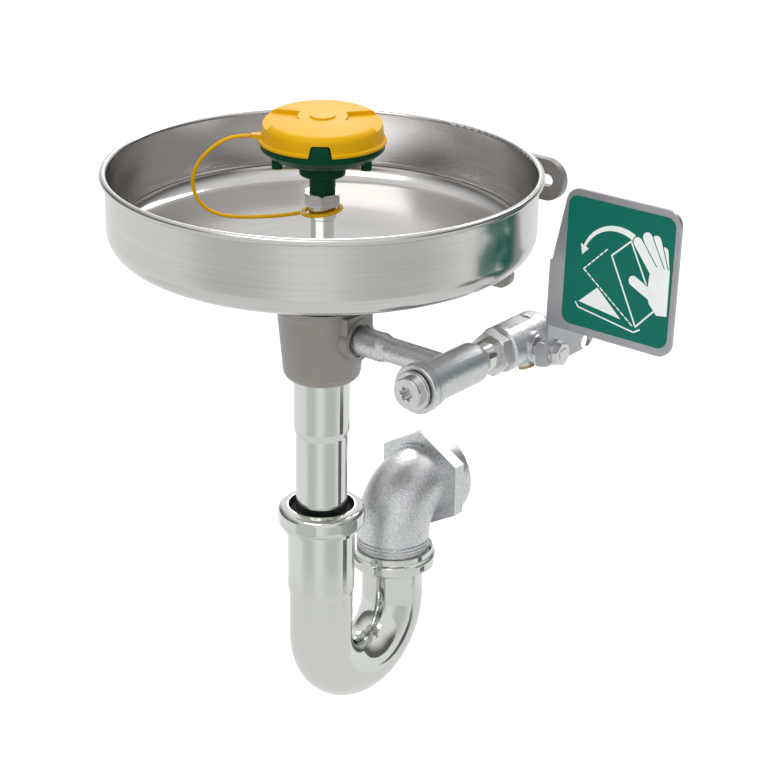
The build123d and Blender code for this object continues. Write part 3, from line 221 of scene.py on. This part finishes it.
def polished(name, colour, roughness=0.08):
    """Bright plated metal with slight hand marks."""
    s = Shader(bpy.data.materials.new(name))
    cloud = s.noise(s.place(), 45.0, 4.0)
    fine = s.noise(s.place(), 900.0, 2.0)
    s.set(Base_Color=(*colour, 1), Metallic=1.0,
          Roughness=s.ramp(cloud, 0.35, 0.75, roughness, roughness * 1.9))
    s.bump(s.math("ADD", s.math("MULTIPLY", cloud, 4.0), fine), 0.000012)
    return s.material


def rough_cast(name, colour, roughness, grit, depth):
    """Plated sand casting: coarse and fine grit under a satin plating."""
    s = Shader(bpy.data.materials.new(name))
    coarse = s.noise(s.place(), grit, 4.0, 0.6)
    fine = s.noise(s.place(), grit * 4, 3.0, 0.6)
    cloud = s.noise(s.place(), 40.0, 3.0)
    dark = tuple(c * 0.72 for c in colour)
    height = s.math("ADD", coarse, s.math("MULTIPLY", fine, 0.4))
    s.set(Base_Color=s.mix(s.ramp(height, 0.45, 0.85), dark, colour), Metallic=1.0,
          Roughness=s.ramp(cloud, 0.3, 0.7, roughness * 0.85, roughness * 1.2))
    s.bump(height, depth)
    return s.material


def cast_coat(name, colour):
    """Cast bracket under a satin metallic coat."""
    s = Shader(bpy.data.materials.new(name))
    cloud = s.noise(s.place(), 30.0, 4.0)
    grit = s.noise(s.place(), 1500.0, 3.0)
    dark = tuple(c * 0.86 for c in colour)
    s.set(Base_Color=s.mix(s.ramp(cloud, 0.3, 0.7), dark, colour), Metallic=0.45,
          Roughness=s.ramp(cloud, 0.3, 0.7, 0.36, 0.46), Coat_Weight=0.15, Coat_Roughness=0.3)
    s.bump(s.math("ADD", grit, s.math("MULTIPLY", cloud, 2.0)), 0.00005)
    return s.material


def moulded(name, colour, roughness, grain=900.0, depth=0.00002):
    """Moulded plastic with a fine skin grain and slight tone changes."""
    s = Shader(bpy.data.materials.new(name))
    cloud = s.noise(s.place(), 25.0, 3.0)
    skin = s.noise(s.place(), grain, 2.0)
    dark = tuple(c * 0.9 for c in colour)
    s.set(Base_Color=s.mix(s.ramp(cloud, 0.3, 0.7), dark, colour), Metallic=0.0,
          Roughness=s.ramp(cloud, 0.3, 0.7, roughness * 0.9, roughness * 1.1), Subsurface_Weight=0.05,
          Specular_IOR_Level=0.12)
    s.bsdf.inputs["Subsurface Scale"].default_value = 0.002
    s.bump(skin, depth)
    return s.material


def make_materials(centre):
    return {
        "bowl_steel": spun_steel("spun_steel", centre, (0.62, 0.605, 0.59), 0.16, 0.75, 0.000012),
        "steel_sheet": brushed_sheet("sheet_steel", (0.46, 0.47, 0.50), 0.38),
        "steel_fixing": polished("steel_fixing", (0.62, 0.62, 0.62), 0.16),
        "bracket_cast": cast_coat("bracket_coat", (0.28, 0.265, 0.24)),
        "cast_nickel": rough_cast("cast_nickel", (0.70, 0.71, 0.73), 0.22, 700.0, 0.00020),
        "machined_nickel": polished("machined_nickel", (0.62, 0.62, 0.62), 0.2),
        "polished_chrome": polished("polished_chrome", (0.63, 0.65, 0.61), 0.06),
        "brass_plain": polished("aged_brass", (0.42, 0.27, 0.12), 0.28),
        "seal_black": moulded("black_rubber", (0.035, 0.04, 0.045), 0.5, 1500.0),
        "seat_white": moulded("white_plastic", (0.8, 0.8, 0.77), 0.4),
        "label_green": moulded("label_green", (0.001, 0.145, 0.105), 0.35, 400.0, 0.00001),
        "head_green": moulded("head_green", (0.0, 0.062, 0.024), 0.3),
        "cover_yellow": moulded("cover_yellow", (0.80, 0.43, 0.001), 0.42),
        "regulator_rubber": moulded("regulator_rubber", (0.02, 0.02, 0.02), 0.6, 1500.0),
    }


# ---------------------------------------------------------------- cover's tether
def tether_points(centre):
    """The tether's route in the model's frame, from the cover's lug to the ring."""
    turn = Matrix.Rotation(HEAD_TURN, 3, "Z")
    return [centre + turn @ Vector((-out, 0, height)) for out, height in TETHER_ROUTE]


def nurbs_line(name, points):
    """A curve of one open smooth spline."""
    data = bpy.data.curves.new(name, "CURVE")
    data.dimensions = "3D"
    data.resolution_u = 12
    spline = data.splines.new("NURBS")
    spline.points.add(len(points) - 1)
    for knot, point in zip(spline.points, points):
        knot.co = (*point, 1)
    spline.order_u = 3
    spline.use_endpoint_u = True
    return bpy.data.objects.new(name, data)


def tether(centre, material):
    """Moulded strap: a round tube along the tether's route, from the cover's lug to the ring on the station.
    """
    line = nurbs_line("tether_line", tether_points(centre))
    path = [v.co.copy() for v in bpy.data.meshes.new_from_object(line).vertices]
    line.data.bevel_depth = TETHER_R
    line.data.bevel_resolution = 4
    line.data.use_fill_caps = True
    strap = bpy.data.objects.new("tether_strap", bpy.data.meshes.new_from_object(line))
    bpy.data.objects.remove(line)
    bpy.context.scene.collection.objects.link(strap)
    strap.data.materials.clear()
    strap.data.materials.append(material)
    for face in strap.data.polygons:
        face.use_smooth = True
    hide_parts("cover_tether")
    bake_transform(strap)


# ---------------------------------------------------------------- label's print
def capsule(a, b, radius, steps=10):
    """Outline of a round-ended bar from a to b."""
    heading = math.atan2(b[1] - a[1], b[0] - a[0])
    points = []
    for end, start in ((b, heading - math.pi / 2), (a, heading + math.pi / 2)):
        for k in range(steps + 1):
            angle = start + math.pi * k / steps
            points.append((end[0] + radius * math.cos(angle), end[1] + radius * math.sin(angle)))
    return points


def strokes(points, width):
    """Bars along a run of points."""
    return [capsule(a, b, width / 2, 4) for a, b in zip(points, points[1:])]


def dashes(a, b, dash, gap, width):
    """A dashed line from a to b."""
    length = math.dist(a, b)
    ux, uy = (b[0] - a[0]) / length, (b[1] - a[1]) / length
    bars = []
    start = 0.0
    while start + dash <= length:
        end = start + dash
        near = (a[0] + ux * start, a[1] + uy * start)
        far = (a[0] + ux * end, a[1] + uy * end)
        bars.append(capsule(near, far, width / 2, 4))
        start = end + gap
    return bars


def on_circle(middle, radius, angle):
    return (middle[0] + radius * math.cos(angle), middle[1] + radius * math.sin(angle))


def arc_arrow(middle, radius, start, end, thick, thin, head, steps=24):
    """A curved arrow that narrows from its tail to its head."""
    outer, inner = [], []
    for k in range(steps + 1):
        share = k / steps
        angle = math.radians(start + (end - start) * share)
        half = (thick + (thin - thick) * share) / 2
        outer.append(on_circle(middle, radius + half, angle))
        inner.append(on_circle(middle, radius - half, angle))
    angle = math.radians(end)
    tip = on_circle(middle, radius, angle + 1.9 * head / radius)
    wings = [on_circle(middle, radius + side * head, angle) for side in (1, -1)]
    return [outer + inner[::-1], [wings[0], tip, wings[1]]]


def label_print():
    """The picture's layers, lowest first: (finish, shapes in mm from the label's lower left corner)."""
    plate = [(31, 47), (43, 58), (62, 22), (50, 9)]
    ghost = [(13, 35), (29, 51)]
    wedge = [(11, 15), (23, 26), (40, 11)]
    layers = [("white", strokes(plate + plate[:1], 1.0) + [wedge]),
              ("white", dashes(ghost[0], ghost[1], 2.4, 1.3, 0.8) + dashes(ghost[0], (48, 9), 2.4, 1.3, 0.8)),
              ("white", strokes([(9, 14), (11, 11.5), (49, 5.5), (53, 8)], 0.9)),
              ("white", arc_arrow((34, 40), 23, 62, 158, 4.0, 1.6, 3.0))]
    fingers = [((60, 43), (47.5, 58.5), 3.0), ((63, 45), (53.5, 62.5), 3.1), ((65.5, 45), (59.5, 62), 3.0),
               ((67, 44), (65, 57), 2.5)]
    thumb = ((60, 29), (46.5, 35.5), 3.1)
    for a, b, radius in fingers[::-1] + [thumb]:
        layers.append(("green", [capsule(a, b, radius + 0.6)]))
        layers.append(("white", [capsule(a, b, radius)]))
    palm = [(56.6, 42), (60, 47), (69.4, 47), (69.8, 20), (63, 19), (57.5, 25), (56, 31)]
    layers.append(("white", [palm]))
    return layers


def add_print(finishes):
    """Thin printed layers on the label's face, in its leaning plane."""
    low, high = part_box("flag_label")
    up = Vector((0, math.sin(LABEL_LEAN), math.cos(LABEL_LEAN)))
    out = Vector((0, -math.cos(LABEL_LEAN), math.sin(LABEL_LEAN)))
    origin = Vector((low.x, low.y, low.z))
    meshes = {finish: bmesh.new() for finish in finishes}
    for level, (finish, shapes) in enumerate(label_print()):
        for count, shape in enumerate(shapes):
            lift = PRINT_LIFT + LAYER_STEP * level + SHAPE_STEP * count
            corners = [origin + Vector((u / 1000, 0, 0)) + up * (v / 1000) + out * lift for u, v in shape]
            face = meshes[finish].faces.new([meshes[finish].verts.new(c) for c in corners])
            face.normal_update()
            if face.normal.dot(out) < 0:
                face.normal_flip()
    for finish, mesh in meshes.items():
        data = bpy.data.meshes.new("label_print_" + finish)
        bmesh.ops.triangulate(mesh, faces=mesh.faces[:])
        mesh.to_mesh(data)
        mesh.free()
        printed = bpy.data.objects.new("label_print_" + finish, data)
        bpy.context.scene.collection.objects.link(printed)
        data.materials.append(finishes[finish])
        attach(printed, "flag")


# ---------------------------------------------------------------- stage
def bowl_centre():
    """The bowl's axis at rim height."""
    low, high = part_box("bowl")
    return Vector(((low.x + high.x) / 2, (low.y + high.y) / 2, high.z))


def camera(centre):
    back = Vector((math.sin(AZIMUTH) * math.cos(ELEVATION), -math.cos(AZIMUTH) * math.cos(ELEVATION),
                   math.sin(ELEVATION)))
    right = Vector((math.cos(AZIMUTH), math.sin(AZIMUTH), 0))
    up = back.cross(right)
    aim = centre + right * AIM_SIDE - Vector((0, 0, AIM_DROP))
    turned_right = right * math.cos(ROLL) + up * math.sin(ROLL)
    turned_up = up * math.cos(ROLL) - right * math.sin(ROLL)
    data = bpy.data.cameras.new("camera")
    data.lens = LENS
    data.sensor_width = 36.0
    data.clip_end = 20.0
    seen = bpy.data.objects.new("camera", data)
    seen.matrix_world = Matrix((turned_right, turned_up, back)).transposed().to_4x4()
    seen.matrix_world.translation = aim + back * DISTANCE
    bpy.context.scene.collection.objects.link(seen)
    bpy.context.scene.camera = seen


def softbox(name, azimuth, elevation, distance, size, power, centre):
    """A rectangular area light that faces the object; azimuth is from the model's front, to the right."""
    data = bpy.data.lights.new(name, "AREA")
    data.shape = "RECTANGLE"
    data.size, data.size_y = size
    data.energy = power
    lamp = bpy.data.objects.new(name, data)
    a, e = math.radians(azimuth), math.radians(elevation)
    direction = Vector((math.sin(a) * math.cos(e), -math.cos(a) * math.cos(e), math.sin(e)))
    lamp.location = centre + direction * distance
    lamp.rotation_euler = direction.to_track_quat("Z", "Y").to_euler()
    bpy.context.scene.collection.objects.link(lamp)


def facing(s, direction, azimuth):
    """How far a level direction points to an azimuth: 1 straight at it, -1 away."""
    flat = s.vector("NORMALIZE", s.vector("MULTIPLY", direction, (1, 1, 0)))
    a = math.radians(azimuth)
    made = s.node("ShaderNodeVectorMath", operation="DOT_PRODUCT")
    s.feed(made.inputs[0], flat)
    s.feed(made.inputs[1], (math.sin(a), -math.cos(a), 0))
    return made.outputs["Value"]


def band(s, direction, azimuth, half, soft):
    """1 within half degrees of an azimuth, falling to 0 over soft degrees."""
    outer = math.cos(math.radians(half + soft))
    inner = math.cos(math.radians(half))
    return s.ramp(facing(s, direction, azimuth), outer, inner)


def height_of(s, direction):
    split = s.node("ShaderNodeSeparateXYZ")
    s.link(direction, split.inputs[0])
    return split.outputs["Z"]


def studio_world():
    """White studio: pale all round, dimmer low down at the two sides."""
    world = bpy.data.worlds.new("studio")
    s = Shader(world)
    direction = s.vector("NORMALIZE", s.node("ShaderNodeTexCoord").outputs["Generated"])
    low = s.ramp(height_of(s, direction), 0.35, 0.8, 1.0, 0.0)
    right = s.math("MULTIPLY", band(s, direction, 135, 38, 22), 0.85)
    left = s.math("MULTIPLY", band(s, direction, -65, 34, 22), 0.8)
    dim = s.math("MULTIPLY", s.math("ADD", right, left), low)
    level = s.math("SUBTRACT", 1.0, dim)
    seen = s.node("ShaderNodeLightPath").outputs["Is Camera Ray"]
    sky = s.tree.nodes["Background"]
    s.link(s.mix(seen, s.mix(level, (0.0, 0.0, 0.0), (1.0, 1.0, 1.0)), (1.0, 1.0, 1.0)), sky.inputs[0])
    sky.inputs[1].default_value = 1.0
    bpy.context.scene.world = world


def reflector(centre):
    """A ring of reflector cards round the object, low down, that shows only in its gloss."""
    mesh = bmesh.new()
    bmesh.ops.create_cone(mesh, cap_ends=False, segments=128, radius1=CARD_R, radius2=CARD_R, depth=CARD_H)
    data = bpy.data.meshes.new("reflector_cards")
    mesh.to_mesh(data)
    mesh.free()
    cards = bpy.data.objects.new("reflector_cards", data)
    cards.location = (centre.x, centre.y, centre.z - FLOOR_DROP + CARD_H / 2 + CARD_GAP)
    bpy.context.scene.collection.objects.link(cards)
    s = Shader(bpy.data.materials.new("cards"))
    place = s.place()
    low = s.ramp(height_of(s, place), -0.12, -0.05, 1.0, 0.0)
    dark = s.math("MULTIPLY", s.math("MULTIPLY", band(s, place, 127, 7, 1.5), 0.85), low)
    soft = s.math("MULTIPLY", band(s, place, -4, 8, 22), 0.28)
    right = s.math("MULTIPLY", band(s, place, 78, 12, 25), 0.3)
    level = s.math("SUBTRACT", 1.0, s.math("ADD", dark, s.math("ADD", soft, right)))
    glow = s.node("ShaderNodeEmission")
    s.link(s.mix(level, (0.0, 0.0, 0.0), (0.98, 1.0, 0.98)), glow.inputs[0])
    s.link(glow.outputs[0], s.tree.nodes["Material Output"].inputs["Surface"])
    data.materials.append(s.material)
    in_gloss_only(cards)


def in_gloss_only(piece):
    """A stage piece that only reflections see."""
    piece.visible_camera = False
    piece.visible_diffuse = False
    piece.visible_shadow = False


def floor_card(centre):
    """A pale disc just over the floor, so that polished pieces don't mirror the bright floor."""
    place = (centre.x, centre.y, centre.z - FLOOR_DROP + FLOOR_CARD_GAP)
    bpy.ops.mesh.primitive_circle_add(vertices=96, radius=CARD_R, fill_type="NGON", location=place)
    card = bpy.context.object
    card.name = "floor_card"
    s = Shader(bpy.data.materials.new("floor_card"))
    glow = s.node("ShaderNodeEmission")
    glow.inputs[0].default_value = (FLOOR_GLOSS, FLOOR_GLOSS, FLOOR_GLOSS, 1)
    s.link(glow.outputs[0], s.tree.nodes["Material Output"].inputs["Surface"])
    card.data.materials.append(s.material)
    in_gloss_only(card)


def stage(centre):
    bpy.ops.mesh.primitive_plane_add(size=FLOOR_SIZE, location=(0, 0, centre.z - FLOOR_DROP))
    floor = bpy.context.object
    floor.name = "floor"
    s = Shader(bpy.data.materials.new("pale_floor"))
    s.set(Base_Color=(0.95, 0.95, 0.95, 1), Roughness=0.9, Emission_Color=(1, 1, 1, 1),
          Emission_Strength=0.25)
    floor.data.materials.append(s.material)
    reflector(centre)
    floor_card(centre)
    studio_world()
    softbox("key", 10, 55, 1.9, (1.3, 0.9), 8, centre)
    softbox("back_left", -140, 35, 1.9, (0.4, 1.0), 8, centre)
    softbox("back_right", 175, 40, 1.9, (0.3, 0.9), 5, centre)
    bpy.context.scene.view_settings.view_transform = "Standard"


def main():
    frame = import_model()
    centre = bowl_centre()
    materials = make_materials(centre)
    slots = {item["node"]: item["material_slot"] for item in frame["record"]["subparts"]}
    for name, node in frame["nodes"].items():
        node.data.materials.clear()
        node.data.materials.append(materials[slots[name]])
    tether(centre, materials["cover_yellow"])
    add_print({"white": moulded("print_white", (0.80, 0.84, 0.82), 0.3, 400.0, 0.00001),
               "green": materials["label_green"]})
    camera(centre)
    stage(centre)


main()
